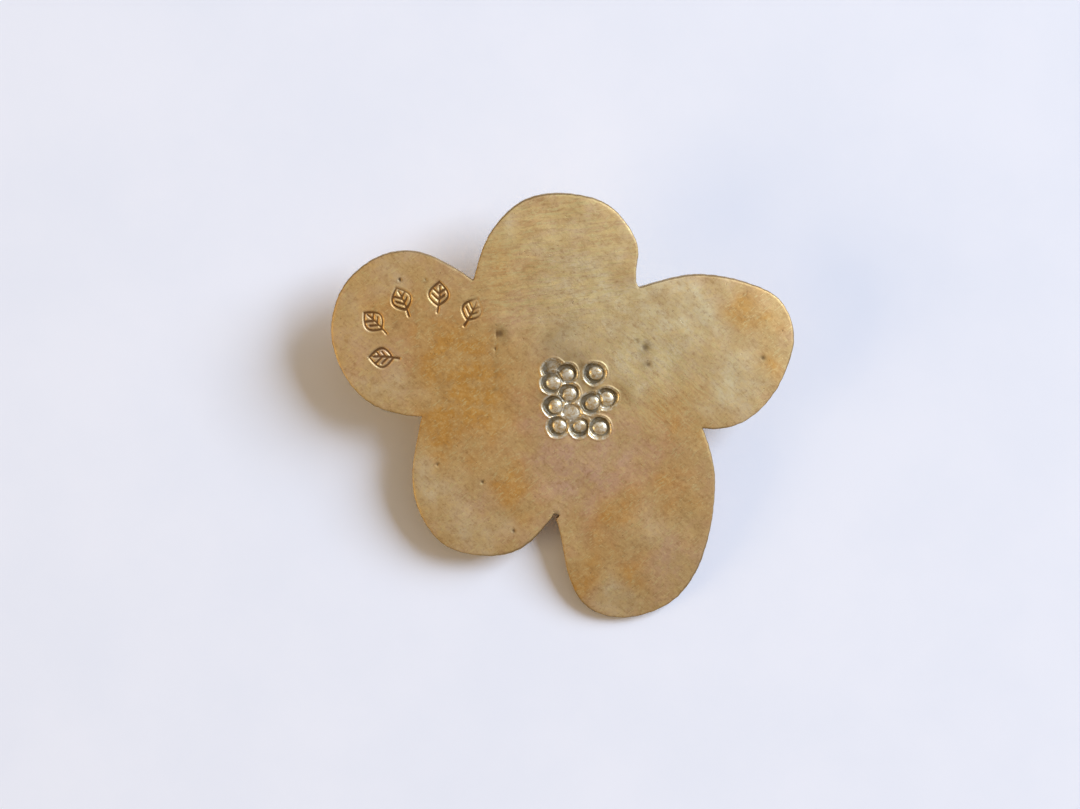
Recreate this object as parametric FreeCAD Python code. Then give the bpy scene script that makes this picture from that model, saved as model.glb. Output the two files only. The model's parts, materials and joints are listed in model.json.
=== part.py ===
"""Hat pin: a flower of sheet brass, with a brooch joint, pin and safety catch soldered on its back.

Everything is drawn in the flower's own frame first: X to the right, Y towards the top petal, Z out of
the front, with the flat back of the sheet at Z = 0. The whole pin is then laid on a table as it rests
there, on the joint, the catch and the tip of its lowest petal, with +Z up.
"""
import FreeCAD, Part
import math
import os

Vector = FreeCAD.Vector

# ---- Driving dimensions, mm ----
SHEET = 0.9                 # thickness of the brass sheet
FLAT_R = 13.2               # the middle of the sheet is flat out to this radius
TURN_R = 80.0               # outside that, the petals are turned back on this radius
BLANK_R = 26.0              # reach of the dished blank that the flower is sawn from
SAW_REACH = 4.0             # the cut runs this far above and below the flat back of the sheet

PUNCH_R = 0.98              # ring punch: middle of the groove
PUNCH_DEPTH = 0.16          # and its depth, which is half its width

FINDING_Y = 5.15            # the pin runs across the flower at this height
JOINT_X = -8.35             # the pin turns here
CATCH_X = 8.5               # and is caught here
PIN_DROP = 3.9              # from the back of the sheet to the middle of the pin
PIN_R = 0.45
PIN_LENGTH = 19.6           # from the rivet's axis to the point
POINT_LENGTH = 5.5
POINT_R = 0.06
RUNNING = 0.04              # radial clearance of the turning fits

PATCH = 0.5                 # thickness of both feet
JOINT_PATCH_X = 3.7
JOINT_PATCH_Y = 6.6
JOINT_PATCH_CORNER = 0.6
CATCH_PATCH_R = 2.6
SOLDER = 0.35               # width and height of the solder seams

EAR = 0.45                  # thickness of the folded strip of the joint
EAR_R = 1.44                # round end of each ear
EAR_GAP = 1.1               # between the ears
EYE_R = 1.0                 # flattened eye of the pin
EYE_WIDTH = 0.9
EYE_NECK = 1.9              # the wire is flattened this far from the rivet's axis
EYE_NECK_HEIGHT = 1.1
RIVET_R = 0.4
RIVET_HEAD_R = 0.75
RIVET_HEAD = 0.32

HOUSING_R = 1.6             # C-shaped housing, outside
HOUSING_BORE = 1.2
HOUSING_LENGTH = 2.6
HOUSING_MOUTH = 1.2         # width of its mouth, which faces away from the flower
NECK = 1.0                  # thickness of the neck that carries the housing
BARREL_BORE = 0.72
BARREL_SLOT = 1.1           # the pin drops through this
TAB_REST = -22.0            # thumb tab: degrees from +Y with the slot over the mouth
TAB_TURN = 80.0             # and how far it turns to lock the pin in
TAB_REACH = 2.45
TAB_WIDTH = 0.8
TAB = 0.44
WINDOW_WIDTH = 0.9          # the housing's window, which the tab moves in
WINDOW_SPARE = 12.0         # degrees of window beyond the tab's middle, at both ends

# Outline of the flower, anticlockwise from the notch at the upper right. Each petal is one smooth
# curve from notch to notch, through the few places where its roundness changes. It was cut by hand,
# so no two petals are alike.
NOTCHES = [(7.6, 12.1), (-8.7, 12.8), (-13.8, -0.75), (-0.65, -10.7), (14.05, -2.0)]
PETALS = [
    [(7.35, 13.5), (7.55, 15.7), (6.7, 18.0), (4.3, 20.35), (0.6, 21.35), (-3.3, 20.85), (-6.4, 18.4),
     (-8.0, 15.3)],
    [(-12.0, 14.8), (-15.2, 15.7), (-19.0, 14.6), (-21.8, 11.7), (-22.9, 7.4), (-21.9, 3.9),
     (-19.6, 0.85), (-16.8, -0.5)],
    [(-14.5, -3.8), (-14.9, -7.2), (-14.2, -10.7), (-12.0, -13.8), (-7.9, -15.15), (-4.4, -14.6),
     (-2.2, -12.8)],
    [(0.0, -13.2), (0.7, -16.9), (2.4, -20.2), (6.4, -21.65), (10.4, -20.5), (13.2, -17.7),
     (15.1, -11.8), (15.3, -6.4)],
    [(16.7, -1.9), (20.0, 0.0), (22.2, 3.4), (23.1, 7.2), (21.6, 10.8), (18.6, 12.4), (14.2, 13.35),
     (10.0, 12.8)],
]
LOWEST_TIP = (6.4, -21.65)   # the petal tip that rests on the table

# Centres of the ring-and-dome punch marks in the middle of the flower
PUNCHES = [(-0.85, 3.85), (-0.95, 2.55), (0.5, 3.45), (3.3, 3.52), (4.5, 1.0), (2.95, 0.48),
           (0.73, 1.45), (-0.75, 0.22), (-0.34, -1.82), (1.78, -1.88), (3.8, -1.98)]

ACROSS = Vector(1, 0, 0)
ALONG_Y = Vector(0, 1, 0)
UP = Vector(0, 0, 1)
JOINT = Vector(JOINT_X, FINDING_Y, -PIN_DROP)
CATCH = Vector(CATCH_X, FINDING_Y, -PIN_DROP)


def box(size, low):
    """Block of a size, from its lowest corner."""
    return Part.makeBox(size[0], size[1], size[2], Vector(*low))


def rod(radius, start, direction, length):
    """Cylinder that begins at a point."""
    return Part.makeCylinder(radius, length, start, direction)


def flower_outline():
    """Closed wire of five interpolated curves that meet at the notches."""
    edges = []
    for index, petal in enumerate(PETALS):
        ends = [NOTCHES[index], NOTCHES[(index + 1) % len(NOTCHES)]]
        points = [Vector(x, y, 0) for x, y in [ends[0]] + petal + [ends[1]]]
        curve = Part.BSplineCurve()
        curve.interpolate(points)
        edges.append(curve.toShape())
    return Part.Wire(edges)


def dished_blank():
    """Round sheet with a flat middle, whose rim is turned back on an arc."""
    centre = Vector(FLAT_R, 0, -TURN_R)
    turn = math.asin((BLANK_R - FLAT_R) / TURN_R)

    def on_arc(radius, angle):
        return centre + Vector(radius * math.sin(angle), 0, radius * math.cos(angle))

    def arc(radius):
        return Part.Arc(on_arc(radius, 0), on_arc(radius, turn / 2), on_arc(radius, turn)).toShape()

    top = TURN_R + SHEET
    section = Part.Wire([
        Part.makeLine(Vector(0, 0, 0), on_arc(TURN_R, 0)),
        arc(TURN_R),
        Part.makeLine(on_arc(TURN_R, turn), on_arc(top, turn)),
        arc(top),
        Part.makeLine(on_arc(top, 0), Vector(0, 0, SHEET)),
        Part.makeLine(Vector(0, 0, SHEET), Vector(0, 0, 0)),
    ])
    return Part.Face(section).revolve(Vector(0, 0, 0), UP, 360)


def flower_plate():
    """The sheet, sawn to its outline and punched."""
    prism = Part.Face(flower_outline()).extrude(Vector(0, 0, 2 * SAW_REACH))
    prism.translate(Vector(0, 0, -SAW_REACH))
    rings = [Part.makeTorus(PUNCH_R, PUNCH_DEPTH, Vector(x, y, SHEET), UP) for x, y in PUNCHES]
    return dished_blank().common(prism).cut(rings).Solids[0]


def rounded_rectangle(width, height, corner, z):
    """Wire round the joint's patch, at a height."""
    edges = []
    centres = [(1, 1), (-1, 1), (-1, -1), (1, -1)]
    middle = Vector(JOINT_X, FINDING_Y, z)
    inner = [middle + Vector(sx * (width / 2 - corner), sy * (height / 2 - corner), 0) for sx, sy in centres]

    def on_corner(index, degrees):
        angle = math.radians(degrees)
        return inner[index] + Vector(corner * math.cos(angle), corner * math.sin(angle), 0)

    for index in range(4):
        start = 90 * index
        points = [on_corner(index, start), on_corner(index, start + 45), on_corner(index, start + 90)]
        edges.append(Part.Arc(*points).toShape())
        edges.append(Part.makeLine(points[2], on_corner((index + 1) % 4, start + 90)))
    return Part.Wire(edges)


def joint_patch():
    """Rectangular foot with round corners."""
    face = Part.Face(rounded_rectangle(JOINT_PATCH_X, JOINT_PATCH_Y, JOINT_PATCH_CORNER, -PATCH))
    return face.extrude(Vector(0, 0, PATCH))


def joint_solder():
    """Seam that slopes from the edge of the foot out to the sheet."""
    wide = rounded_rectangle(JOINT_PATCH_X + 2 * SOLDER, JOINT_PATCH_Y + 2 * SOLDER,
                             JOINT_PATCH_CORNER + SOLDER, 0)
    narrow = rounded_rectangle(JOINT_PATCH_X, JOINT_PATCH_Y, JOINT_PATCH_CORNER, -SOLDER)
    return Part.makeLoft([narrow, wide], True, True).cut(joint_patch())


def joint_box():
    """Strip folded into a U, with a round ear on each side of the pin."""
    width = EAR_GAP + 2 * EAR
    block_low = (JOINT_X - EAR_R, FINDING_Y - width / 2, -PIN_DROP)
    solid = box((2 * EAR_R, width, PIN_DROP - PATCH), block_low)
    solid = solid.fuse(rod(EAR_R, JOINT - Vector(0, width / 2, 0), ALONG_Y, width))
    depth = PIN_DROP + EAR_R - PATCH - EAR
    gap_low = (JOINT_X - 2 * EAR_R, FINDING_Y - EAR_GAP / 2, -PIN_DROP - EAR_R)
    solid = solid.cut(box((4 * EAR_R, EAR_GAP, depth), gap_low))
    return solid.cut(rod(RIVET_R, JOINT - Vector(0, width, 0), ALONG_Y, 2 * width))


def rivet_head(side):
    """Low dome outside one ear: a slice of a ball."""
    ball_r = (RIVET_HEAD_R ** 2 + RIVET_HEAD ** 2) / (2 * RIVET_HEAD)
    face_y = FINDING_Y + side * (EAR_GAP / 2 + EAR)
    centre = Vector(JOINT_X, face_y - side * (ball_r - RIVET_HEAD), -PIN_DROP)
    low_y = face_y if side > 0 else face_y - RIVET_HEAD
    slice_low = (JOINT_X - RIVET_HEAD_R, low_y, -PIN_DROP - RIVET_HEAD_R)
    keep = box((2 * RIVET_HEAD_R, RIVET_HEAD, 2 * RIVET_HEAD_R), slice_low)
    return Part.makeSphere(ball_r, centre).common(keep)


def joint_rivet():
    """Shank through both ears and the pin's eye, with a domed head at each end."""
    length = EAR_GAP + 2 * EAR
    shank = rod(RIVET_R, JOINT - Vector(0, length / 2, 0), ALONG_Y, length)
    return shank.fuse([rivet_head(-1), rivet_head(1)])


def pin_stem():
    """Round wire with a flattened eye at the joint and a long ground point through the catch."""
    eye = rod(EYE_R, JOINT - Vector(0, EYE_WIDTH / 2, 0), ALONG_Y, EYE_WIDTH)
    neck_low = (JOINT_X, FINDING_Y - EYE_WIDTH / 2, -PIN_DROP - EYE_NECK_HEIGHT / 2)
    neck = box((EYE_NECK, EYE_WIDTH, EYE_NECK_HEIGHT), neck_low)
    straight = PIN_LENGTH - POINT_LENGTH
    wire = rod(PIN_R, JOINT, ACROSS, straight)
    point = Part.makeCone(PIN_R, POINT_R, POINT_LENGTH, JOINT + Vector(straight, 0, 0), ACROSS)
    hole = rod(RIVET_R + RUNNING, JOINT - Vector(0, EYE_WIDTH, 0), ALONG_Y, 2 * EYE_WIDTH)
    return wire.fuse([point, eye, neck]).cut(hole)


def catch_patch():
    """Round foot."""
    return rod(CATCH_PATCH_R, Vector(CATCH_X, FINDING_Y, -PATCH), UP, PATCH)


def catch_solder():
    """Seam that slopes from the edge of the round foot out to the sheet."""
    start = Vector(CATCH_X, FINDING_Y, -SOLDER)
    seam = Part.makeCone(CATCH_PATCH_R, CATCH_PATCH_R + SOLDER, SOLDER, start, UP)
    return seam.cut(catch_patch())


def sector(radius, length, first, last):
    """Wedge about the catch's axis between two angles, in degrees from +Y towards +Z."""
    start = CATCH - Vector(length / 2, 0, 0)
    wedge = Part.makeCylinder(radius, length, Vector(0, 0, 0), UP, last - first)
    turned = FreeCAD.Rotation(ACROSS, first).multiply(FreeCAD.Rotation(Vector(1, 1, 1), 120))
    wedge.Placement = FreeCAD.Placement(start, turned)
    return wedge


def catch_housing():
    """C-shaped loop on a neck, with a mouth away from the flower and a window for the tab."""
    start = CATCH - Vector(HOUSING_LENGTH / 2, 0, 0)
    low = (start.x, FINDING_Y - NECK / 2, -PIN_DROP)
    body = rod(HOUSING_R, start, ACROSS, HOUSING_LENGTH)
    body = body.fuse(box((HOUSING_LENGTH, NECK, PIN_DROP - PATCH), low))
    body = body.cut(rod(HOUSING_BORE, start, ACROSS, HOUSING_LENGTH))
    mouth_low = (start.x, FINDING_Y - HOUSING_MOUTH / 2, -PIN_DROP - 2 * HOUSING_R)
    body = body.cut(box((HOUSING_LENGTH, HOUSING_MOUTH, 2 * HOUSING_R), mouth_low))
    last = TAB_REST + TAB_TURN + WINDOW_SPARE
    return body.cut(sector(2 * HOUSING_R, WINDOW_WIDTH, TAB_REST - WINDOW_SPARE, last))


def catch_barrel():
    """Slotted sleeve that turns in the housing, with a thumb tab that comes out through the window."""
    start = CATCH - Vector(HOUSING_LENGTH / 2, 0, 0)
    outer = HOUSING_BORE - RUNNING
    sleeve = rod(outer, start, ACROSS, HOUSING_LENGTH)
    tab_low = (CATCH_X - TAB_WIDTH / 2, FINDING_Y, -PIN_DROP - TAB / 2)
    tab = box((TAB_WIDTH, TAB_REACH, TAB), tab_low)
    tab.rotate(CATCH, ACROSS, TAB_REST)
    sleeve = sleeve.fuse(tab).cut(rod(BARREL_BORE, start, ACROSS, HOUSING_LENGTH))
    slot_low = (start.x, FINDING_Y - BARREL_SLOT / 2, -PIN_DROP - 2 * outer)
    return sleeve.cut(box((HOUSING_LENGTH, BARREL_SLOT, 2 * outer), slot_low))


def resting_tilt():
    """Angle about X at which the housing and the lowest petal tip touch one table."""
    reach = math.hypot(*LOWEST_TIP) - FLAT_R
    tip_drop = TURN_R - math.sqrt(TURN_R ** 2 - reach ** 2)
    across = FINDING_Y - LOWEST_TIP[1]
    height = PIN_DROP - tip_drop
    return math.atan2(height, across) + math.asin(HOUSING_R / math.hypot(height, across))


def lay_down(shapes):
    """Tilt the pin to its rest, with the middle of its box over the origin and its base at Z = 0."""
    turn = FreeCAD.Rotation(ACROSS, math.degrees(resting_tilt()))
    for shape in shapes.values():
        shape.Placement = FreeCAD.Placement(Vector(0, 0, 0), turn).multiply(shape.Placement)
    bound = Part.makeCompound(list(shapes.values())).optimalBoundingBox(False, False)
    shift = Vector(-bound.Center.x, -bound.Center.y, -bound.ZMin)
    for shape in shapes.values():
        shape.translate(shift)
    placed = FreeCAD.Placement(shift, turn)
    print("tilt, degrees:", round(math.degrees(resting_tilt()), 4))
    print("origin of the flower's frame:", [round(value, 4) for value in shift])
    print("joint axis through:", [round(value, 4) for value in placed.multVec(JOINT)])
    print("catch axis through:", [round(value, 4) for value in placed.multVec(CATCH)])
    return shapes


NODES = {
    "flower_plate": flower_plate,
    "joint_patch": joint_patch,
    "joint_solder": joint_solder,
    "joint_box": joint_box,
    "joint_rivet": joint_rivet,
    "pin_stem": pin_stem,
    "catch_patch": catch_patch,
    "catch_solder": catch_solder,
    "catch_housing": catch_housing,
    "catch_barrel": catch_barrel,
}

os.makedirs("parts", exist_ok=True)
for name, shape in lay_down({name: make() for name, make in NODES.items()}).items():
    shape.exportStep("parts/" + name + ".step")
    print(name, "solids", len(shape.Solids), "valid", shape.isValid(), "mm3", round(shape.Volume, 2))
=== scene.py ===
"""Looks of the flower hat pin: a patinated brass sheet, stamped in the middle, on its brooch finding."""
import json
import math
import bpy
import numpy as np
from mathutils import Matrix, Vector
from mathutils.geometry import delaunay_2d_cdt


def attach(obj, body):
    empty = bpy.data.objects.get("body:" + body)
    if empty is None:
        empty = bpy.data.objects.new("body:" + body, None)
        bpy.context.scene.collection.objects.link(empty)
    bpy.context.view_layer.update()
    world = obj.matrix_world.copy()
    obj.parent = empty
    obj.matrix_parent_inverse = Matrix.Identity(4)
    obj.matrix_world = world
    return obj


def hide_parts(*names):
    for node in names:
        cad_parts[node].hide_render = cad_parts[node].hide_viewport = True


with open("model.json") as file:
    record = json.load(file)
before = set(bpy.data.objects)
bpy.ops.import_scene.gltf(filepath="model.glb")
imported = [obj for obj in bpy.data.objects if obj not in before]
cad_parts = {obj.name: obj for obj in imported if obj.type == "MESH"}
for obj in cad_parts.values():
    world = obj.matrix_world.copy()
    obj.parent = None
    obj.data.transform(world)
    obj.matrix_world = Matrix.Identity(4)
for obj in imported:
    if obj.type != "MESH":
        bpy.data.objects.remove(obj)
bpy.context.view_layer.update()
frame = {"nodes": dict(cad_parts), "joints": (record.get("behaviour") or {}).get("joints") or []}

MM = 0.001

# ---- The flower's own frame, mm: X across it, Y towards the top petal, Z out of its front ----
JOINT_IN_FLOWER = (-8.35, 5.15, -3.9)   # the pin's rivet; the sheet's flat back is at Z = 0
SHEET = 0.9
FLAT_R = 13.2                           # the petals are turned back outside this radius,
TURN_R = 80.0                           # on this one
MIDDLE = (1.9, 0.8)                     # the outline is seen whole from here

HINGES = {joint["name"]: joint for joint in frame["joints"]}
ACROSS = np.array(HINGES["barrel_turn"]["axis"], float)
UPWARD = np.array(HINGES["pin_hinge"]["axis"], float)
OUT = np.cross(ACROSS, UPWARD)
AXES = np.array([ACROSS, UPWARD, OUT])
ORIGIN = np.array(HINGES["pin_hinge"]["pos_m"]) - MM * np.array(JOINT_IN_FLOWER) @ AXES


def to_row(points):
    """Points in the flower's frame, mm, as points in the row frame, m."""
    return ORIGIN + MM * np.asarray(points, float) @ AXES


def to_flower(points):
    """Points in the row frame, m, as points in the flower's frame, mm."""
    return (np.asarray(points, float) - ORIGIN) @ AXES.T / MM


# ---------------------------------------------------------------- meshes

def piece(name, body, points, faces, finish, replaced=(), marks=None):
    """A smooth-shaded mesh from points in the flower's frame, which rides on a body."""
    mesh = bpy.data.meshes.new(name)
    mesh.from_pydata(to_row(points).tolist(), [], faces)
    mesh.update()
    mesh.polygons.foreach_set("use_smooth", np.ones(len(mesh.polygons), bool))
    for mark, values in (marks or {}).items():
        mesh.attributes.new(mark, "FLOAT", "POINT").data.foreach_set("value", values.astype(np.float32))
    mesh.materials.append(finish)
    made = bpy.data.objects.new(name, mesh)
    bpy.context.scene.collection.objects.link(made)
    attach(made, body)
    if replaced:
        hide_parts(*replaced)
    return made


def strip_faces(first, second):
    """Quads between two closed rings of point numbers, seen from outside as second lies below first."""
    ahead_first = np.roll(first, -1)
    ahead_second = np.roll(second, -1)
    return np.stack([first, second, ahead_second, ahead_first], 1).tolist()


# ---------------------------------------------------------------- the sheet's shape

UPRIGHT = 0.05              # a wall's normal leans less than this out of the sheet's plane
INNERMOST = 8.0             # the outline lies farther from MIDDLE than this; punch marks lie nearer


def sawn_outline(spacing):
    """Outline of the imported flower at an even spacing: corners of its upright walls, in order round MIDDLE.

    Radius is a function of the angle about MIDDLE, read at even steps of the length along the outline.
    """
    mesh = frame["nodes"]["flower_plate"].data
    count = len(mesh.polygons)
    normals = np.empty(3 * count)
    corners = np.empty(3 * count, np.int64)
    mesh.polygons.foreach_get("normal", normals)
    mesh.polygons.foreach_get("vertices", corners)
    points = np.empty(3 * len(mesh.vertices))
    mesh.vertices.foreach_get("co", points)
    flat = to_flower(points.reshape(-1, 3))[:, :2] - MIDDLE
    upright = np.abs(normals.reshape(-1, 3) @ OUT) < UPRIGHT
    wall = flat[np.unique(corners.reshape(-1, 3)[upright])]
    wall = wall[np.hypot(wall[:, 0], wall[:, 1]) > INNERMOST]
    angle = np.arctan2(wall[:, 1], wall[:, 0])
    angle, order = np.unique(np.round(angle, 6), return_index=True)
    radius = np.hypot(wall[order, 0], wall[order, 1])
    angle = np.concatenate([angle, angle[:1] + 2 * math.pi])
    radius = np.concatenate([radius, radius[:1]])
    around = np.stack([radius * np.cos(angle), radius * np.sin(angle)], 1)
    along = np.concatenate([[0], np.cumsum(np.hypot(*np.diff(around, axis=0).T))])
    steps = np.linspace(0, along[-1], int(along[-1] / spacing), endpoint=False)
    outline = [np.interp(steps, along, around[:, 0]), np.interp(steps, along, around[:, 1])]
    return np.stack(outline, 1) + MIDDLE


def softened(ring, passes):
    """A ring of points, each moved to the mean of itself and its two neighbours' mean, several times."""
    for _ in range(passes):
        ring = 0.5 * ring + 0.25 * (np.roll(ring, 1, 0) + np.roll(ring, -1, 0))
    return ring


def outward(ring):
    """Unit normals of an anticlockwise ring of points."""
    along = np.roll(ring, -1, 0) - np.roll(ring, 1, 0)
    across = np.stack([along[:, 1], -along[:, 0]], 1)
    return across / np.hypot(*across.T)[:, None]


def waves(x, y, seed, length, count=9):
    """Gentle unevenness, about -1 to 1: a sum of sine waves of nearly one length in random directions."""
    rng = np.random.default_rng(seed)
    total = np.zeros_like(x)
    for _ in range(count):
        heading, phase = rng.uniform(0, 2 * math.pi, 2)
        pitch = length * rng.uniform(0.7, 1.5)
        total += np.sin((x * math.cos(heading) + y * math.sin(heading)) * 2 * math.pi / pitch + phase)
    return total / (0.9 * math.sqrt(count))


def sag(x, y):
    """How far the petals are turned back: nothing out to FLAT_R, then an arc of radius TURN_R."""
    reach = np.maximum(np.hypot(x, y) - FLAT_R, 0)
    return TURN_R - np.sqrt(TURN_R ** 2 - reach ** 2)


# Punch marks: centre, depth, how unevenly the punch was held (share of depth, towards an angle in
# degrees), radius of the mark, and how much of the dome stands. In the order that they were struck.
PUNCHES = [
    ((-0.85, 3.85), 0.30, 0.35, 250, 1.00, 0.25),
    ((0.50, 3.45), 0.34, 0.20, 70, 0.96, 0.98),
    ((-0.95, 2.55), 0.34, 0.35, 190, 0.98, 0.92),
    ((3.30, 3.52), 0.36, 0.25, 215, 1.00, 0.95),
    ((4.50, 1.00), 0.32, 0.25, 60, 1.00, 0.92),
    ((2.95, 0.48), 0.33, 0.25, 200, 0.98, 0.88),
    ((0.73, 1.45), 0.32, 0.15, 100, 0.96, 1.00),
    ((0.98, -0.45), 0.18, 0.50, 130, 0.90, 0.55),
    ((-0.75, 0.22), 0.36, 0.40, 170, 0.98, 0.98),
    ((-0.34, -1.82), 0.32, 0.25, 200, 0.98, 0.88),
    ((1.78, -1.88), 0.34, 0.45, 300, 0.94, 0.72),
    ((3.80, -1.98), 0.33, 0.25, 60, 1.00, 0.88),
]
DOME_SHARE = 0.72           # radius of the dome, as a share of the groove's middle
DOME_SHIFT = (0.10, -0.04)  # the punch's hollow is a little off its middle, mm
WALL_START = 0.92           # where the outer wall starts, as a share of the mark's radius
WALL_OUT = 0.26             # from there out to the sheet, mm
LIP = 0.035                 # height of the lip thrown up round a mark, mm,
LIP_OUT = 0.03              # its distance outside the wall
LIP_WIDTH = 0.10            # and its half-width
WORN = 0.25                 # how much of an older mark shows through a newer one


def struck(z, x, y, punch):
    """The sheet after one blow of the ring punch.

    Inside the mark the height is that of the punch's face: an elliptical dome, a round groove, and an
    outer wall that rises as half a cosine; a low lip is thrown up round it. Old marks partly show.
    """
    (cx, cy), depth, lean, towards, ring, dome = punch
    dx, dy = x - cx, y - cy
    angle = np.arctan2(dy, dx)
    r = np.hypot(dx, dy) * (1 + 0.03 * np.sin(3 * angle + 5 * cx) + 0.015 * np.sin(5 * angle + 9 * cy))
    deep = depth * (1 + lean * np.cos(angle - math.radians(towards)) * np.clip(r / ring, 0, 1))
    inner = DOME_SHARE * ring
    from_top = np.hypot(dx - DOME_SHIFT[0], dy - DOME_SHIFT[1]) * (1 + 0.05 * np.sin(2 * angle + 7 * cy))
    cap = dome * depth * np.sqrt(np.clip(1 - (from_top / inner) ** 2, 0, 1)) ** 1.1
    rise = 0.5 + 0.5 * np.cos(np.pi * np.clip((r - WALL_START * ring) / WALL_OUT, 0, 1))
    face = SHEET - deep * rise + cap
    lip = LIP * np.exp(-((r - ring - WALL_OUT - LIP_OUT) / LIP_WIDTH) ** 2) * (1 + 0.5 * np.sin(2 * angle))
    inside = r < WALL_START * ring + WALL_OUT
    worn = WORN * np.minimum(z, face) + (1 - WORN) * np.where(rise > 0.9, face, np.minimum(z, face))
    return np.where(inside, worn, z + lip)


# Leaf stamps: centre, turn in degrees, depth, and how unevenly the stamp was held (share of depth per mm,
# towards an angle in degrees)
LEAVES = [
    ((-17.55, 5.05), 88, 0.10, 0.15, 90),
    ((-18.40, 8.50), 47, 0.09, 0.25, 200),
    ((-15.70, 10.65), 24, 0.11, 0.45, 240),
    ((-12.15, 11.15), -4, 0.10, 0.10, 0),
    ((-8.95, 9.65), -26, 0.09, 0.60, 200),
]
LEAF_LENGTH = 3.0
LEAF_WIDTH = 1.9
STROKE = 0.12               # half-width of a stamped line


def leaf_lines():
    """Line work of a leaf stamp, mm: two bowed sides, a midrib that runs on as a stalk, and four veins."""
    t = np.linspace(0, 1, 15)
    bow = np.sin(math.pi * t ** 0.9)
    half = LEAF_LENGTH / 2
    along = -0.55 * half + 1.55 * half * t
    lines = [np.stack([side * 0.5 * LEAF_WIDTH * bow, along], 1) for side in (-1, 1)]
    lines.append(np.stack([0.12 * np.sin(2.5 * t), -half + 1.75 * half * t], 1))
    for side in (-1, 1):
        for root in (-0.18, 0.22):
            vein = np.linspace(0, 1, 4)
            lines.append(np.stack([side * 0.5 * LEAF_WIDTH * 0.62 * vein, half * (root + 0.34 * vein)], 1))
    return lines


def distance_to_lines(points, lines):
    """Shortest distance from each point to any stretch of the lines."""
    best = np.full(len(points), np.inf)
    for line in lines:
        for start, end in zip(line[:-1], line[1:]):
            step = end - start
            share = np.clip((points - start) @ step / (step @ step), 0, 1)
            best = np.minimum(best, np.hypot(*(points - start - share[:, None] * step).T))
    return best


def leaf_marks(x, y):
    """Depth of the leaf stamps: a round-bottomed groove along each line, with soft shoulders."""
    depth = np.zeros_like(x)
    for (cx, cy), turn, deep, lean, towards in LEAVES:
        near = np.hypot(x - cx, y - cy) < 0.75 * LEAF_LENGTH
        angle = math.radians(turn)
        dx, dy = x[near] - cx, y[near] - cy
        local = np.stack([dx * math.cos(angle) + dy * math.sin(angle),
                          dy * math.cos(angle) - dx * math.sin(angle)], 1)
        away = distance_to_lines(local, leaf_lines())
        heading = math.radians(towards)
        press = 1 + lean * (dx * math.cos(heading) + dy * math.sin(heading))
        groove = np.exp(-(away / STROKE) ** 2.6) - 0.12 * np.exp(-((away - 2.3 * STROKE) / STROKE) ** 2)
        depth[near] += deep * np.clip(press, 0.05, 1.5) * groove
    return depth


# Pits and dents, mm: place, radius, depth
PITS = [
    ((8.30, 6.15), 0.42, 0.05), ((8.65, 4.40), 0.30, 0.05), ((7.45, 6.80), 0.18, 0.03),
    ((20.0, 5.0), 0.25, 0.05), ((-7.85, -7.5), 0.20, 0.06), ((-4.75, -12.5), 0.20, 0.06),
    ((-12.35, -5.75), 0.18, 0.05), ((-15.95, 12.85), 0.16, 0.10), ((-13.4, 12.9), 0.14, 0.05),
    ((-6.10, 7.50), 0.45, 0.06), ((-6.55, 6.0), 0.20, 0.04),
]
WITNESS_X = -6.5            # the joint's foot shows through as a faint crease here,
WITNESS_Y = (1.7, 8.2)      # from here to here
WITNESS_DEPTH = 0.025
WITNESS_FADE = 0.3          # length over which each end of it dies away


def dents(x, y):
    """Depth of pits, as bells, and of the crease over the joint's foot."""
    depth = np.zeros_like(x)
    for (cx, cy), radius, deep in PITS:
        depth += deep * np.exp(-(((x - cx) ** 2 + (y - cy) ** 2) / radius ** 2) ** 1.3)
    low, high = WITNESS_Y
    along = 1 / (1 + np.exp(-(y - low) / WITNESS_FADE)) / (1 + np.exp((y - high) / WITNESS_FADE))
    bent = WITNESS_X + 0.08 * np.sin(y)
    return depth + WITNESS_DEPTH * along * np.exp(-((x - bent) / 0.12) ** 2)


def front(x, y):
    """Height of the flower's front, and how far it lies under the unstruck sheet."""
    uneven = 0.028 * waves(x, y, 3, 7.0) + 0.010 * waves(x, y, 4, 2.6)
    z = np.full_like(x, SHEET)
    for punch in PUNCHES:
        z = struck(z, x, y, punch)
    z = z - leaf_marks(x, y) - dents(x, y)
    return z - sag(x, y) + uneven, SHEET - z


def back(x, y):
    """Height of the flower's back: the sheet's flat back, turned back with the petals, and barely uneven."""
    fade = np.clip((np.hypot(x, y - 4) - 9) / 6, 0, 1)
    return -sag(x, y) + 0.012 * waves(x, y, 3, 7.0) * fade


# Patina, where the brass has gone amber, where it is pale and where it is rose grey: place, radius, strength.
# On the upper right the pale patches are also painted sheen: the window's reflection painted as paler brass
AMBER = [
    ((-9.5, 3.2), 5.5, 0.95), ((-12.6, 5.8), 3.4, 0.65), ((-13.0, -2.6), 2.8, 0.80),
    ((-11.0, -5.4), 2.4, 0.55), ((-5.0, -8.4), 2.8, 0.85), ((-6.5, -0.8), 4.0, 0.55),
    ((4.6, -11.0), 2.8, 0.85), ((11.2, -0.7), 3.8, 0.90), ((6.6, -7.8), 2.0, 0.60),
    ((10.0, -6.6), 2.2, 0.60), ((12.0, -10.0), 3.0, 0.50), ((2.6, -16.8), 2.8, 0.80),
    ((7.1, -17.0), 2.2, 0.80), ((-18.6, 9.4), 1.8, 0.55), ((20.4, 3.6), 2.2, 0.80),
    ((18.2, 9.4), 3.0, 0.75), ((-5.8, 13.6), 2.6, 0.55), ((4.6, 16.0), 2.4, 0.40),
    ((-15.6, 10.8), 1.6, 0.50), ((-2.0, 17.6), 2.0, 0.35),
]
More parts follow.
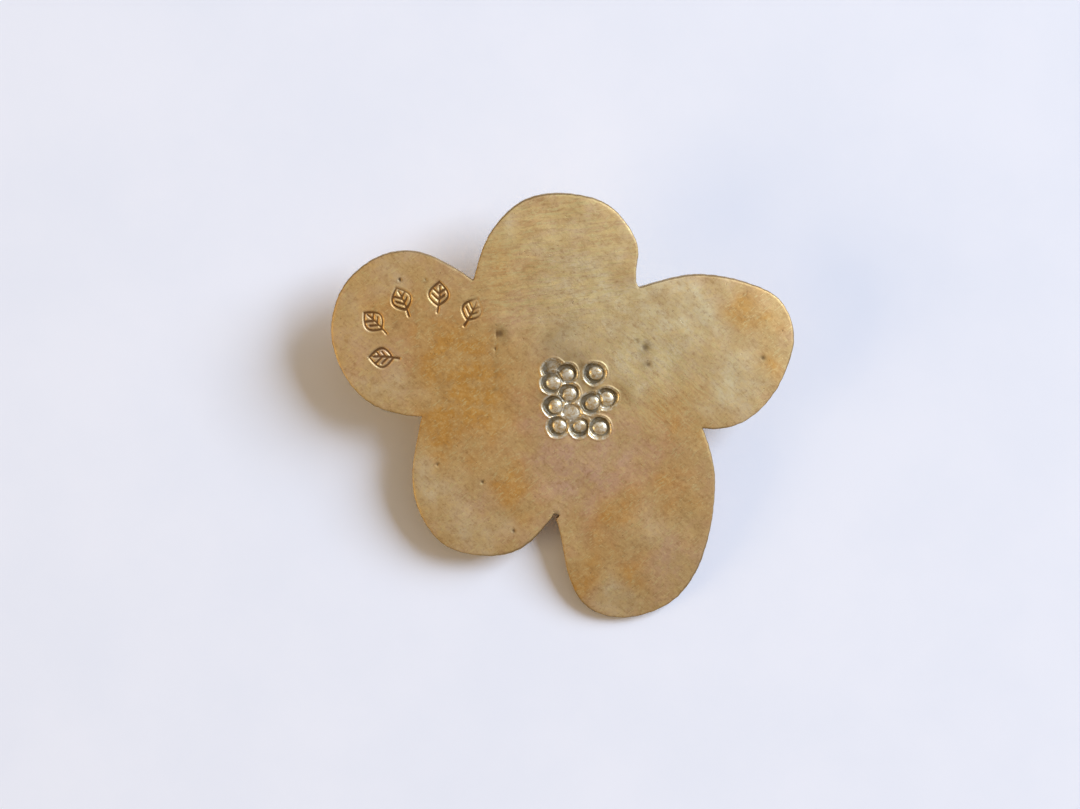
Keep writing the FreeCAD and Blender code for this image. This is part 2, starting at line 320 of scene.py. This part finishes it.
PALE_AND_SHEEN = [
    ((11.5, 9.8), 4.2, 1.00), ((7.6, 5.4), 4.4, 0.95), ((17.2, 3.0), 3.2, 0.80),
    ((1.0, 14.2), 5.0, 0.60), ((4.2, 10.4), 3.6, 0.75), ((-6.0, 18.4), 2.0, 0.55),
    ((-13.2, -7.8), 3.2, 0.55), ((-8.4, -13.0), 2.8, 0.50), ((-17.6, 2.4), 2.8, 0.55),
    ((5.4, -19.2), 2.0, 0.75), ((9.6, -12.6), 2.2, 0.35), ((-20.5, 8.0), 2.4, 0.45),
    ((0.0, 8.4), 3.0, 0.45), ((16.4, 0.6), 2.0, 0.50), ((-17.0, 14.0), 2.0, 0.35),
]
ROSE = [
    ((0.6, -4.9), 3.8, 0.90), ((5.4, -4.9), 3.6, 0.70), ((9.2, -4.2), 2.8, 0.50),
    ((2.0, -7.7), 2.8, 0.80), ((-7.6, -9.6), 1.6, 0.65), ((-16.6, 5.2), 2.2, 0.45),
    ((10.6, -15.0), 2.6, 0.45), ((-2.4, -1.0), 2.4, 0.60), ((-19.5, 6.0), 2.5, 0.35),
    ((-4.4, 9.0), 2.0, 0.35),
]
# Dark stains, a dark haze over the punch marks, and painted shade between them, in the pits, along the crease
# and in the saw's kerf
STAINS_AND_SHADE = [
    ((1.2, 5.2), 2.2, 0.35), ((-0.6, 5.4), 1.4, 0.40), ((6.0, 2.0), 1.0, 0.25),
    ((8.3, 6.15), 0.60, 0.60), ((8.65, 4.4), 0.42, 0.55), ((7.45, 6.8), 0.30, 0.40),
    ((-6.1, 7.5), 0.80, 0.45), ((-6.5, 6.0), 0.40, 0.30), ((-15.95, 12.85), 0.22, 0.95),
    ((-13.4, 12.9), 0.22, 0.5), ((-4.75, -12.5), 0.22, 0.8), ((20.0, 5.0), 0.35, 0.6),
    ((-7.85, -7.5), 0.25, 0.6), ((-12.35, -5.75), 0.22, 0.5), ((-6.55, 1.9), 0.20, 0.6),
    ((-6.6, 4.3), 0.25, 0.4), ((1.9, 3.9), 0.60, 0.65), ((3.3, 1.9), 0.60, 0.70),
    ((1.9, 2.4), 0.55, 0.50), ((1.9, 0.1), 0.60, 0.55), ((-0.1, 1.3), 0.45, 0.50),
    ((0.7, -1.2), 0.50, 0.55), ((2.8, -0.9), 0.50, 0.50), ((-1.6, 1.2), 0.45, 0.50),
    ((-0.55, -10.75), 0.30, 1.00), ((-16.2, 8.2), 0.50, 0.30), ((-15.1, 9.4), 0.60, 0.25),
]


def spread(x, y, patches, seed):
    """How strongly a set of patches covers each point: bells with wandering edges, laid over each other."""
    reach = 0.9 * waves(x, y, seed, 4.0), 0.9 * waves(x, y, seed + 1, 4.0)
    bare = np.ones_like(x)
    for (cx, cy), radius, strength in patches:
        wander = min(1.0, radius / 3.0)
        away = np.hypot(x + wander * reach[0] - cx, y + wander * reach[1] - cy)
        bare *= 1 - strength * np.exp(-(away / radius) ** 2)
    return 1 - bare


PUNCHED_REACH = 1.30        # struck metal reaches this far from a punch mark's centre, mm,
PUNCHED_FADE = 0.12         # with an edge this wide


def patina(x, y):
    """Marks that the brass's material reads: patina and painted sheen, stains and painted shade, struck metal
    and the way it was brushed.
    """
    nearest_punch = nearest(np.stack([x, y], 1), np.array([punch[0] for punch in PUNCHES]))
    # painted shade along the crease over the joint's foot
    crease = np.exp(-((x - WITNESS_X) / 0.13) ** 2) * (y > WITNESS_Y[0]) * (y < WITNESS_Y[1])
    return {
        "amber": spread(x, y, AMBER, 21),
        "pale": spread(x, y, PALE_AND_SHEEN, 23),
        "rose": spread(x, y, ROSE, 25),
        "stain_and_shade": np.maximum(spread(x, y, STAINS_AND_SHADE, 27), 0.22 * crease),
        "punched": np.clip((PUNCHED_REACH - nearest_punch) / PUNCHED_FADE, 0, 1),
        "crosswise": np.clip((y - 6.0) / 5.0, 0, 1) * np.exp(-(x / 9.0) ** 4),
        "slanting": np.exp(-(((x - 9.0) / 8.0) ** 2 + ((y - 4.0) / 6.0) ** 2)),
    }


# ---------------------------------------------------------------- the sheet's mesh

OUTLINE_STEP = 0.10
KERF = ((-0.55, -11.05), 0.16, 0.40)    # the saw ran on past the lowest notch: place, half-width, length
BURR = ((0.05, -14.55), 0.12, 0.22)      # a burr left on the edge beside it: place, half-width, height
COARSE = 0.30               # spacing of points on the open sheet,
LEAF_STEP = 0.085           # on the leaf stamps
PUNCH_STEP = 0.062          # and on the punch marks
BACK_STEP = 0.5
PUNCH_FINE = 1.52           # the finest points reach this far from a punch mark's centre,
LEAF_FINE = 1.85            # the fine ones this far from a leaf's
PIT_FINE = 0.65             # or a pit's, mm
QUARTER_ROUND = (0.0, 0.18, 0.38, 0.6, 0.8, 1.0)    # where the rim's rounding has its rings
INNER_RING = 0.12           # the first ring lies this much farther in
BEVEL = 0.09                # under the rim


def triangular_grid(step, low, high):
    """Rows of points a step apart, every other row half a step on."""
    columns = np.arange(low[0], high[0], step)
    rows = np.arange(low[1], high[1], step * math.sqrt(3) / 2)
    x, y = np.meshgrid(columns, rows)
    x = x + 0.5 * step * (np.arange(len(rows)) % 2)[:, None]
    return np.stack([x.ravel(), y.ravel()], 1)


def nearest(points, others):
    """Distance from each point to the nearest of the others."""
    parts = np.array_split(points, max(1, len(points) // 2000))
    return np.concatenate([np.hypot(part[:, None, 0] - others[:, 0], part[:, None, 1] - others[:, 1]).min(1)
                           for part in parts])


def inside_ring(points, ring):
    """True for points inside a ring.

    A line to the right from such a point crosses the ring an odd number of times.
    """
    start, end = ring, np.roll(ring, -1, 0)
    slope = (end[:, 0] - start[:, 0]) / np.where(end[:, 1] == start[:, 1], 1.0, end[:, 1] - start[:, 1])
    parts = []
    for part in np.array_split(points, max(1, len(points) // 2000)):
        x, y = part[:, :1], part[:, 1:]
        spans = (start[:, 1] > y) != (end[:, 1] > y)
        right = x < start[:, 0] + (y - start[:, 1]) * slope
        parts.append((spans & right).sum(1) % 2 == 1)
    return np.concatenate(parts)


def filled(ring, points):
    """Triangles over the points inside a ring, whose own points come first; all anticlockwise."""
    every = np.concatenate([ring, points])
    numbers = np.arange(len(ring))
    border = list(zip(numbers.tolist(), np.roll(numbers, -1).tolist()))
    flat, _, faces = delaunay_2d_cdt([Vector(p) for p in every.tolist()], border, [], 0, 1e-7, False)[:3]
    flat, faces = np.array([tuple(p) for p in flat]), np.array(faces)
    return flat, faces[inside_ring(flat[faces].mean(1), ring)]


def front_points(ring):
    """Points of three spacings inside a ring: fine on the punch marks and leaves, coarse elsewhere."""
    low, high = ring.min(0), ring.max(0)
    punches = np.array([punch[0] for punch in PUNCHES])
    leaves = np.array([leaf[0] for leaf in LEAVES])
    pits = np.array([pit[0] for pit in PITS])
    coarse = triangular_grid(COARSE, low, high)
    from_punch = nearest(coarse, punches)
    from_leaf = nearest(coarse, leaves)
    from_pit = nearest(coarse, pits)
    clear = (from_punch > PUNCH_FINE + 0.10) & (from_leaf > LEAF_FINE + 0.10) & (from_pit > PIT_FINE + 0.10)
    coarse = coarse[clear]
    fine = triangular_grid(LEAF_STEP, low, high)
    wanted = (nearest(fine, leaves) < LEAF_FINE) | (nearest(fine, pits) < PIT_FINE)
    fine = fine[wanted & (nearest(fine, punches) > PUNCH_FINE + 0.08)]
    finest = triangular_grid(PUNCH_STEP, punches.min(0) - 2, punches.max(0) + 2)
    finest = finest[nearest(finest, punches) < PUNCH_FINE]
    kept = []
    for points, step in ((coarse, COARSE), (fine, LEAF_STEP), (finest, PUNCH_STEP)):
        points = points[inside_ring(points, ring)]
        kept.append(points[nearest(points, ring) > 0.5 * step])
    return np.concatenate(kept)


def flower():
    """The sheet: its front, a filed rim that rounds over and down, and its back.

    The rim is a profile carried round the outline: a quarter round whose radius wanders, an upright
    wall with file marks, and a small bevel under it.
    """
    outline = softened(sawn_outline(OUTLINE_STEP), 2)
    count = len(outline)
    normal = softened(outward(outline), 2)
    turn = np.arange(count) * OUTLINE_STEP
    filed = 0.13 + 0.05 * waves(turn, 0 * turn, 11, 9.0) + 0.02 * waves(turn, 0 * turn, 12, 1.7)
    filed = np.clip(filed, 0.06, 0.24)
    wander = 0.03 * waves(turn, 0 * turn, 13, 5.0) + 0.012 * waves(turn, 0 * turn, 14, 0.9)
    place, half, length = KERF
    wander = wander - length * np.exp(-(np.hypot(*(outline - place).T) / half) ** 2)
    place, half, height = BURR
    wander = wander + height * np.exp(-(np.hypot(*(outline - place).T) / half) ** 2)
    outline = outline + normal * wander[:, None]
    rings, heights, rim = [], [], []
    for share in QUARTER_ROUND:
        angle = share * math.pi / 2
        inset = filed * (1 - math.sin(angle)) + (INNER_RING if share == 0 else 0)
        ring = outline - normal * inset[:, None]
        rings.append(ring)
        heights.append(front(ring[:, 0], ring[:, 1])[0] - filed * (1 - math.cos(angle)))
        rim.append(np.full(count, share))
    top, under = heights[-1], back(outline[:, 0], outline[:, 1])
    for share in (0.35, 0.7):
        marks = 0.006 * waves(turn, 0 * turn, 15 + int(10 * share), 0.5)
        rings.append(outline + normal * marks[:, None])
        heights.append(top + share * (under + BEVEL - top))
        rim.append(np.ones(count))
    for inset, lift in ((0.0, BEVEL), (BEVEL, 0.0)):
        rings.append(outline - normal * inset)
        heights.append(back(*rings[-1].T) + lift)
        rim.append(np.ones(count))
    front_flat, front_faces = filled(rings[0], front_points(rings[0]))
    grid = triangular_grid(BACK_STEP, outline.min(0), outline.max(0))
    grid = grid[inside_ring(grid, rings[-1])]
    grid = grid[nearest(grid, rings[-1]) > 0.5 * BACK_STEP]
    back_flat, back_faces = filled(rings[-1], grid)
    front_z, depth = front(*front_flat.T)
    points = [np.column_stack([front_flat, front_z])]
    shares, depths = [np.zeros(len(front_flat))], [depth]
    for ring, height, share in zip(rings[1:-1], heights[1:-1], rim[1:-1]):
        points.append(np.column_stack([ring, height]))
        shares.append(share)
        depths.append(np.zeros(count))
    points.append(np.column_stack([back_flat, back(*back_flat.T)]))
    shares.append(np.where(np.arange(len(back_flat)) < count, 1.0, 0.0))
    depths.append(np.zeros(len(back_flat)))
    starts = np.cumsum([0] + [len(part) for part in points])
    faces = front_faces.tolist()
    ring_numbers = [start + np.arange(count) for start in starts[:-1]]
    for first, second in zip(ring_numbers[:-1], ring_numbers[1:]):
        faces += strip_faces(first, second)
    faces += (back_faces[:, ::-1] + starts[-2]).tolist()
    points = np.concatenate(points)
    marks = {"rim": np.concatenate(shares), "depth": np.concatenate(depths)}
    marks.update(patina(points[:, 0], points[:, 1]))
    return piece("brass_flower", "brooch", points, faces, aged_brass(), ["flower_plate"], marks)


# ---------------------------------------------------------------- materials

class Signal:
    """A socket's value, which takes part in Python arithmetic by adding Math nodes."""

    def __init__(self, finish, socket):
        self.finish = finish
        self.socket = socket

    def _math(self, operation, *values):
        """A Math node on these values, in this order."""
        return self.finish.node("ShaderNodeMath", {"operation": operation}, dict(enumerate(values)))

    def __add__(self, other):
        return self._math("ADD", self, other)

    def __radd__(self, other):
        return self._math("ADD", other, self)

    def __sub__(self, other):
        return self._math("SUBTRACT", self, other)

    def __rsub__(self, other):
        return self._math("SUBTRACT", other, self)

    def __mul__(self, other):
        return self._math("MULTIPLY", self, other)

    def __rmul__(self, other):
        return self._math("MULTIPLY", other, self)

    def least(self, other):
        """The smaller of two values."""
        return self._math("MINIMUM", self, other)

    def most(self, other):
        """The larger of two values."""
        return self._math("MAXIMUM", self, other)

    def between(self, low, high):
        """0 below low, 1 above high, and a smooth step from one to the other."""
        settings = {"interpolation_type": "SMOOTHSTEP"}
        return self.finish.node("ShaderNodeMapRange", settings, {0: self, 1: low, 2: high})


class Finish:
    """A material that is built one node at a time."""

    def __init__(self, name):
        self.material = bpy.data.materials.new(name)
        self.material.use_nodes = True
        self.nodes = self.material.node_tree.nodes
        self.links = self.material.node_tree.links
        self.shader = self.nodes["Principled BSDF"]
        self.place = self.node("ShaderNodeTexCoord", {}, {}, "Object")

    def node(self, kind, settings, inputs, output=0):
        """Add a node: its settings first, then its sockets' values or links; returns one output."""
        made = self.nodes.new(kind)
        for name, value in settings.items():
            setattr(made, name, value)
        for name, value in inputs.items():
            if isinstance(value, Signal):
                self.links.new(value.socket, made.inputs[name])
            else:
                made.inputs[name].default_value = value
        return Signal(self, made.outputs[output])

    def stretched(self, scale, turn=0.0, shift=(0, 0, 0)):
        """Object coordinates in mm, turned about Z by degrees and then scaled along each axis."""
        turned = self.node("ShaderNodeMapping", {"vector_type": "POINT"},
                           {"Vector": self.place, "Rotation": (0, 0, math.radians(turn))})
        return self.node("ShaderNodeMapping", {"vector_type": "POINT"},
                         {"Vector": turned, "Scale": tuple(1000 * s for s in scale), "Location": shift})

    def noise(self, place, scale=1.0, detail=3.0, roughness=0.5, distortion=0.0):
        """Cloudy noise, about 0 to 1."""
        return self.node("ShaderNodeTexNoise", {},
                         {"Vector": place, "Scale": scale, "Detail": detail, "Roughness": roughness,
                          "Distortion": distortion})

    def mix(self, share, first, second):
        """First colour where share is 0, second where it is 1."""
        return self.node("ShaderNodeMix", {"data_type": "RGBA"}, {"Factor": share, 6: first, 7: second}, 2)

    def mark(self, name):
        """A number that the mesh holds at each point."""
        return self.node("ShaderNodeAttribute", {"attribute_name": name}, {}, "Fac")

    def bump(self, height, distance, strength=1.0, under=None):
        """Bump from a height of 0 to 1 times a distance in metres, laid over another bump."""
        inputs = {"Height": height, "Distance": distance, "Strength": strength}
        if under is not None:
            inputs["Normal"] = under
        return self.node("ShaderNodeBump", {}, inputs)

    def set(self, **sockets):
        """Sockets of the shader by name, with spaces as underscores."""
        for name, value in sockets.items():
            socket = self.shader.inputs[name.replace("_", " ")]
            if isinstance(value, Signal):
                self.links.new(value.socket, socket)
            else:
                socket.default_value = value
        return self.material


def shade(red, green, blue):
    """A colour given as screen values of 0 to 255."""
    linear = [((c / 255 + 0.055) / 1.055) ** 2.4 if c > 10 else c / 255 / 12.92 for c in (red, green, blue)]
    return (*linear, 1.0)


def scratches(finish, turn, length, width, lowest, seed):
    """Short straight marks: noise drawn out along one direction, of which only the peaks are kept."""
    lane = finish.stretched((1 / length, 1 / width, 1 / length), turn, (seed, 2 * seed, 0))
    grain = finish.noise(lane, 1.0, 2.0, 0.6, 0.3)
    return grain.between(lowest, lowest + 0.10)


def aged_brass():
    """Old sheet brass: golden, gone amber, pale or rose grey in patches, the pale on the upper right partly
    painted sheen of the window; mottled, with short bright brush marks that change direction over the flower,
    dark stains, a dark haze over the punch marks and painted shade between them, in the pits, along the
    crease and in the kerf;
    polished struck marks with painted shade in their grooves; and a filed rim that is dark partly from oxide
    and partly as painted shade on the sheet's edge."""
    f = Finish("aged_brass")
    cloud = f.noise(f.stretched((1, 1, 1), 0, (31, 7, 3)), 0.45, 5.0, 0.6, 0.4)
    mottle = f.noise(f.stretched((1, 1.2, 1), 20, (3, 3, 11)), 1.1, 4.0, 0.66)
    speckle = f.noise(f.stretched((1, 1, 1), 0, (12, 4, 9)), 2.7, 3.0, 0.75)
    grain = f.noise(f.stretched((1, 1, 1), 0, (2, 5, 7)), 5.0, 3.0, 0.7)
    uneven = 0.55 + 0.9 * cloud.between(0.35, 0.65)
    colour = f.mix(cloud.between(0.40, 0.62), shade(228, 197, 141), shade(223, 190, 145))
    colour = f.mix((f.mark("amber") * uneven).least(1.0), colour, shade(222, 172, 92))
    # pale patina, and on the upper right painted sheen of the window
    colour = f.mix((f.mark("pale") * uneven).least(1.0), colour, shade(240, 226, 188))
    colour = f.mix((f.mark("rose") * uneven * 0.8).least(1.0), colour, shade(226, 190, 162))
    colour = f.mix(mottle.between(0.50, 0.70) * 0.42, colour, shade(246, 216, 152))
    colour = f.mix((1 - mottle).between(0.52, 0.72) * 0.38, colour, shade(186, 142, 90))
    colour = f.mix(speckle.between(0.54, 0.66) * 0.35, colour, shade(250, 226, 166))
    colour = f.mix((1 - speckle).between(0.54, 0.66) * 0.35, colour, shade(178, 136, 90))
    across = scratches(f, -7, 1.3, 0.24, 0.54, 3.0) * f.mark("crosswise")
    slanting = scratches(f, 42, 1.2, 0.22, 0.54, 8.0) * f.mark("slanting")
    short = scratches(f, -38, 0.7, 0.20, 0.57, 14.0) * 0.6
    brushed = across.most(slanting).most(short)
    bands = (scratches(f, -7, 3.5, 0.55, 0.48, 51.0) * f.mark("crosswise")).most(
        scratches(f, 42, 3.0, 0.50, 0.48, 57.0) * f.mark("slanting"))
    colour = f.mix(bands * 0.40, colour, shade(250, 230, 164))
    colour = f.mix(brushed * 0.72, colour, shade(255, 240, 180))
    gaps = scratches(f, -6, 1.2, 0.24, 0.55, 33.0) * f.mark("crosswise")
    gaps = gaps.most(scratches(f, 44, 1.0, 0.22, 0.55, 41.0) * 0.7)
    colour = f.mix(gaps * 0.28, colour, shade(172, 132, 78))
    pocks = f.noise(f.stretched((1, 1, 1), 0, (8, 6, 2)), 2.6, 2.0, 0.7).between(0.68, 0.76)
    colour = f.mix(pocks * 0.5, colour, shade(128, 92, 54))
    depth = f.mark("depth")
    punched = f.mark("punched")
    line = depth.between(0.02, 0.075) * (1 - punched)
    silver = f.mix(speckle.between(0.42, 0.58), shade(206, 180, 132), shade(240, 236, 218))
    colour = f.mix(punched * 0.85, colour, silver)
    colour = f.mix(line * 0.80, colour, shade(112, 70, 34))
    # painted shade in the deep grooves of the punch marks
    colour = f.mix(depth.between(0.16, 0.32) * punched * 0.70, colour, shade(88, 80, 58))
    # stains, a dark haze over the punch marks, and painted shade between them, in the pits, along the crease
    # and in the kerf
    colour = f.mix(f.mark("stain_and_shade") * 0.75, colour, shade(110, 94, 72))
    # the filed rim darkened: partly oxide, partly painted shade on the sheet's edge
    rim = f.mark("rim").between(0.05, 0.35)
    colour = f.mix(rim * 0.75, colour, shade(146, 118, 76))
    rough = 0.58 + 0.14 * (cloud - 0.5) + 0.16 * (grain - 0.5) - 0.10 * brushed
    rough = rough - 0.24 * punched * (1.2 - 0.5 * speckle) - 0.04 * rim
    height = f.bump(grain, 0.00001, 0.4)
    height = f.bump(mottle, 0.00006, 0.2, height)
    height = f.bump(1 - pocks, 0.00003, 0.4, height)
    return f.set(Base_Color=colour, Metallic=1 - 0.45 * punched, Roughness=rough, Normal=height)


def metal(name, light, dark, rough, streak_turn=0.0):
    """Drawn or rolled metal: two tones in soft streaks, a fine grain and a few scratches."""
    f = Finish(name)
    streak = f.noise(f.stretched((0.5, 4.0, 0.5), streak_turn), 1.0, 4.0, 0.6)
    cloud = f.noise(f.stretched((1, 1, 1), 0, (4, 9, 2)), 0.8, 3.0, 0.6)
    colour = f.mix((0.6 * streak + 0.4 * cloud).between(0.38, 0.62), light, dark)
    lines = scratches(f, streak_turn + 4, 3.0, 0.05, 0.66, 6.0)
    roughness = rough + 0.18 * (cloud - 0.5) + 0.12 * (streak - 0.5)
    height = f.bump(streak, 0.000015, 0.5)
    height = f.bump(1 - lines, 0.00001, 0.7, height)
    return f.set(Base_Color=colour, Metallic=1.0, Roughness=roughness, Normal=height)


def finding_metals():
    """Materials of the finding's pieces, by CAD node."""
    brass = metal("finding_brass", shade(226, 194, 122), shade(186, 148, 82), 0.34)
    barrel = metal("barrel_brass", shade(232, 202, 134), shade(196, 160, 94), 0.28, 90)
    rivet = metal("rivet_brass", shade(228, 196, 126), shade(190, 152, 86), 0.30, 45)
    steel = metal("pin_steel", shade(206, 206, 203), shade(160, 160, 158), 0.24)
    solder = metal("silver_solder", shade(196, 196, 188), shade(150, 148, 138), 0.42, 30)
    return {"joint_patch": brass, "joint_box": brass, "catch_patch": brass, "catch_housing": brass,
            "catch_barrel": barrel, "joint_rivet": rivet, "pin_stem": steel, "joint_solder": solder,
            "catch_solder": solder}


# ---------------------------------------------------------------- the stage

TABLE_REACH = 1.5
BACKDROP = (0.74, 0.76, 0.84, 1)
VIEW_WIDTH = 0.108          # what the camera takes in across, at the flower's height
LENS = 90.0
SENSOR = 36.0
AIM = (-0.00221, 0.00035, 0.00401)
NEAREST = 0.01              # the camera shows nothing nearer than this
# Lights: angle from +X and height in degrees, distance and size in m, power in W, colour
WINDOW = (28, 35, 2.0, 1.15, 61.0, (0.62, 0.735, 0.91))
LAMP = (195, 20, 1.5, 0.8, 9.5, (1.0, 0.75, 0.38))
TOWARDS_WINDOW = (0.55, 0.40, 0.73)
ROOM_DIM = (0.17, 0.125, 0.09, 1)
ROOM_LIGHT = (0.50, 0.43, 0.36, 1)


def table():
    """A plain pale table top."""
    f = Finish("pale_table")
    fleck = f.noise(f.stretched((1, 1, 1)), 0.05, 4.0, 0.6)
    tone = f.mix(fleck.between(0.3, 0.7), shade(236, 238, 246), shade(240, 241, 248))
    material = f.set(Base_Color=tone, Roughness=0.9)
    mesh = bpy.data.meshes.new("table")
    r = TABLE_REACH
    mesh.from_pydata([(-r, -r, 0), (r, -r, 0), (r, r, 0), (-r, r, 0)], [], [(0, 1, 2, 3)])
    mesh.materials.append(material)
    top = bpy.data.objects.new("table", mesh)
    bpy.context.scene.collection.objects.link(top)


def aim(thing, place, target):
    """Put a light or camera at a place and turn it to look at a target."""
    thing.location = place
    thing.rotation_euler = (Vector(target) - Vector(place)).to_track_quat("-Z", "Y").to_euler()
    bpy.context.scene.collection.objects.link(thing)


def area_light(name, azimuth, elevation, distance, size, watts, colour):
    """A soft square light, placed by its angle from +X and its height above the table."""
    lamp = bpy.data.lights.new(name, "AREA")
    lamp.shape = "SQUARE"
    lamp.size = size
    lamp.energy = watts
    lamp.color = colour
    turn, rise = math.radians(azimuth), math.radians(elevation)
    place = (distance * math.cos(rise) * math.cos(turn), distance * math.cos(rise) * math.sin(turn),
             distance * math.sin(rise))
    aim(bpy.data.objects.new(name, lamp), place, (0, 0, 0))


def room():
    """Light from all round: a warm room that is brighter towards the window, seen as a pale backdrop."""
    world = bpy.data.worlds.new("room")
    world.use_nodes = True
    nodes, links = world.node_tree.nodes, world.node_tree.links
    heading = nodes.new("ShaderNodeTexCoord")
    towards = nodes.new("ShaderNodeVectorMath")
    towards.operation = "DOT_PRODUCT"
    towards.inputs[1].default_value = TOWARDS_WINDOW
    ramp = nodes.new("ShaderNodeValToRGB")
    dim, light = ramp.color_ramp.elements
    dim.position, dim.color = 0.2, ROOM_DIM
    light.position, light.color = 1.0, ROOM_LIGHT
    links.new(heading.outputs["Generated"], towards.inputs[0])
    links.new(towards.outputs["Value"], ramp.inputs["Fac"])
    links.new(ramp.outputs["Color"], nodes["Background"].inputs["Color"])
    backdrop = nodes.new("ShaderNodeBackground")
    backdrop.inputs["Color"].default_value = BACKDROP
    seen = nodes.new("ShaderNodeLightPath")
    choice = nodes.new("ShaderNodeMixShader")
    links.new(seen.outputs["Is Camera Ray"], choice.inputs[0])
    links.new(nodes["Background"].outputs[0], choice.inputs[1])
    links.new(backdrop.outputs[0], choice.inputs[2])
    links.new(choice.outputs[0], nodes["World Output"].inputs["Surface"])
    bpy.context.scene.world = world


def stage():
    """Table, a bluish window at the upper right, a warm room, and a camera straight above."""
    table()
    area_light("window", *WINDOW)
    area_light("lamp", *LAMP)
    room()
    camera = bpy.data.cameras.new("camera")
    camera.lens = LENS
    camera.sensor_width = SENSOR
    camera.clip_start = NEAREST
    holder = bpy.data.objects.new("camera", camera)
    distance = VIEW_WIDTH * LENS / SENSOR
    aim(holder, (AIM[0], AIM[1], AIM[2] + distance), AIM)
    holder.rotation_euler = (0, 0, 0)   # exactly upright, with +Y at the top of the view
    bpy.context.scene.camera = holder
    bpy.context.scene.view_settings.view_transform = "Standard"


# ---------------------------------------------------------------- putting it together

flower()
for node, material in finding_metals().items():
    mesh = frame["nodes"][node].data
    mesh.materials.clear()
    mesh.materials.append(material)
stage()
